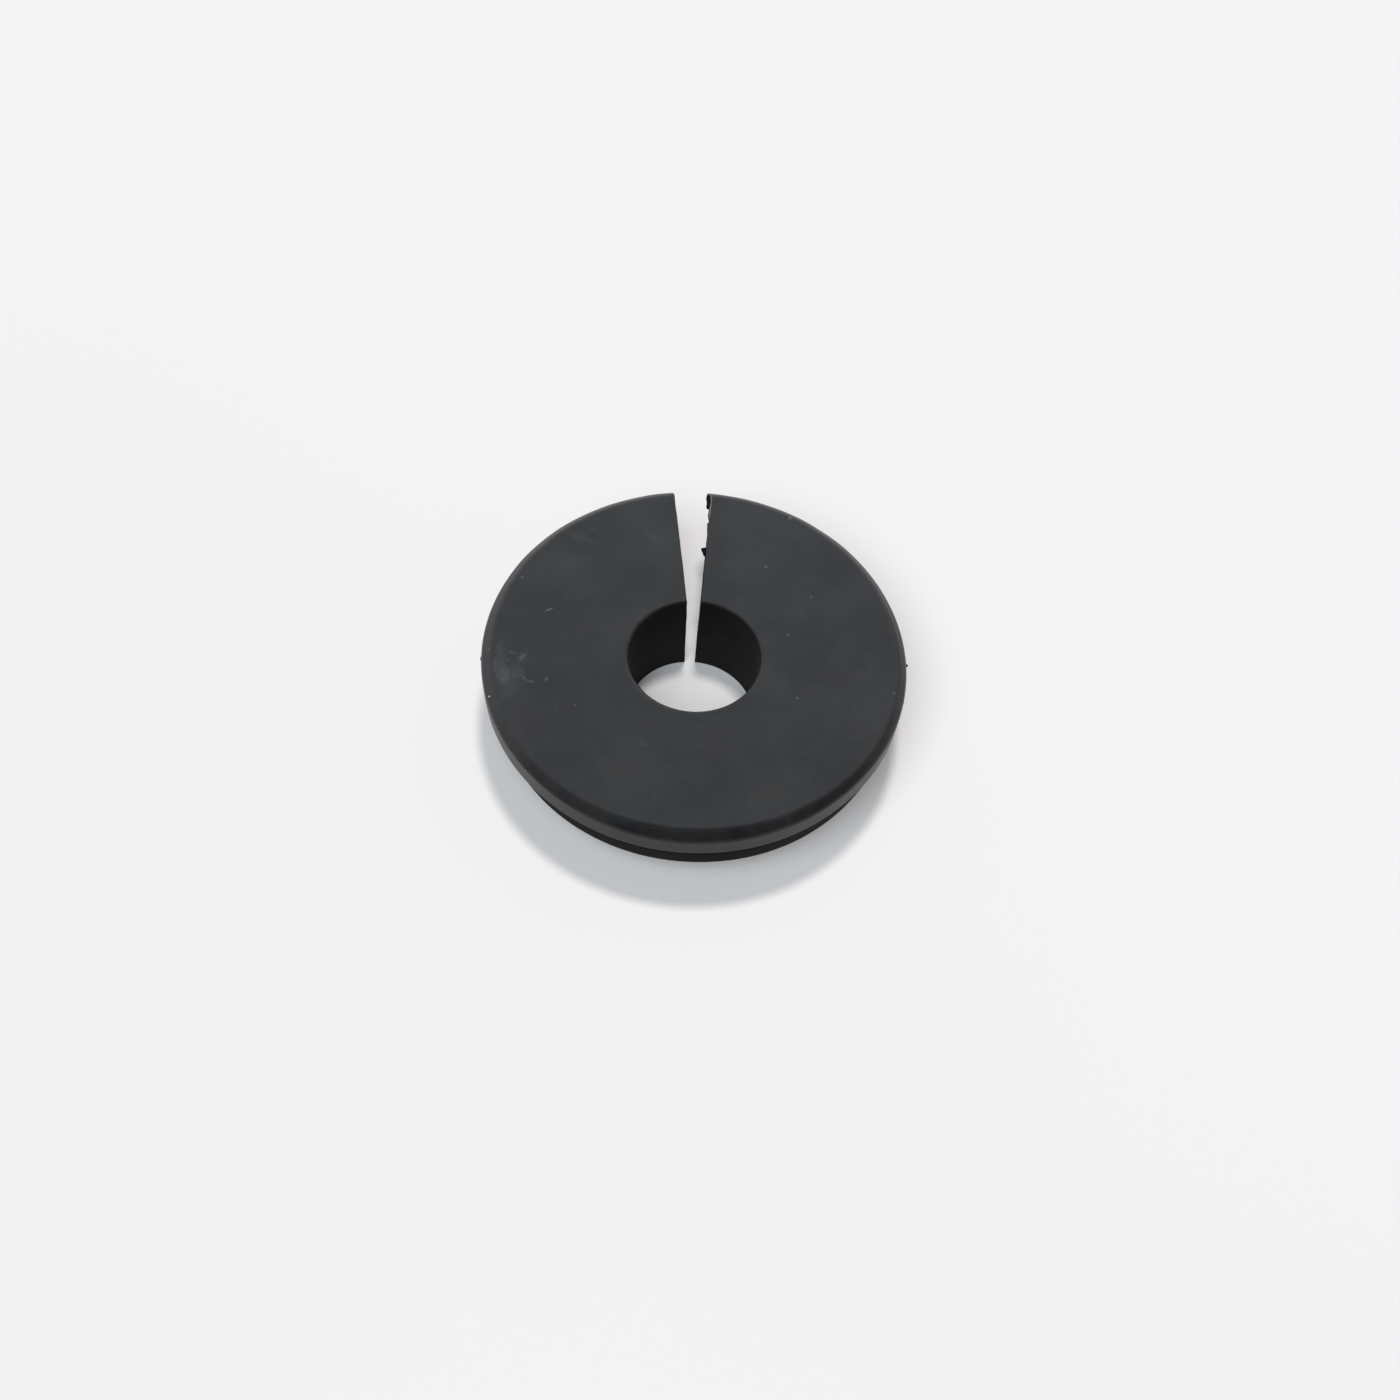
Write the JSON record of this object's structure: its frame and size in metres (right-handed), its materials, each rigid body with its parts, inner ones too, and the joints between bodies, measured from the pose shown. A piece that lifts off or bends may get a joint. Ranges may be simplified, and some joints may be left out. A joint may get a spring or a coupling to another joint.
{
  "type": "rubber sealing plug",
  "caption": "Split round rubber plug with a wide flange, a panel groove, a tapered lip and a straight central bore, cut once from the rim to the bore.",
  "frame": {"origin": "on the bore axis, in the plane of the small end that the plug rests on", "axes": "+Z along the bore axis from the small end towards the flange, +Y from the bore axis towards the cut"},
  "size_m": [0.052, 0.0519, 0.0126],
  "materials": {
    "rubber": "satin, as moulded, with light scuffs"
  },
  "bodies": {
    "root": {"plug": "rubber"}
  },
  "joints": []
}
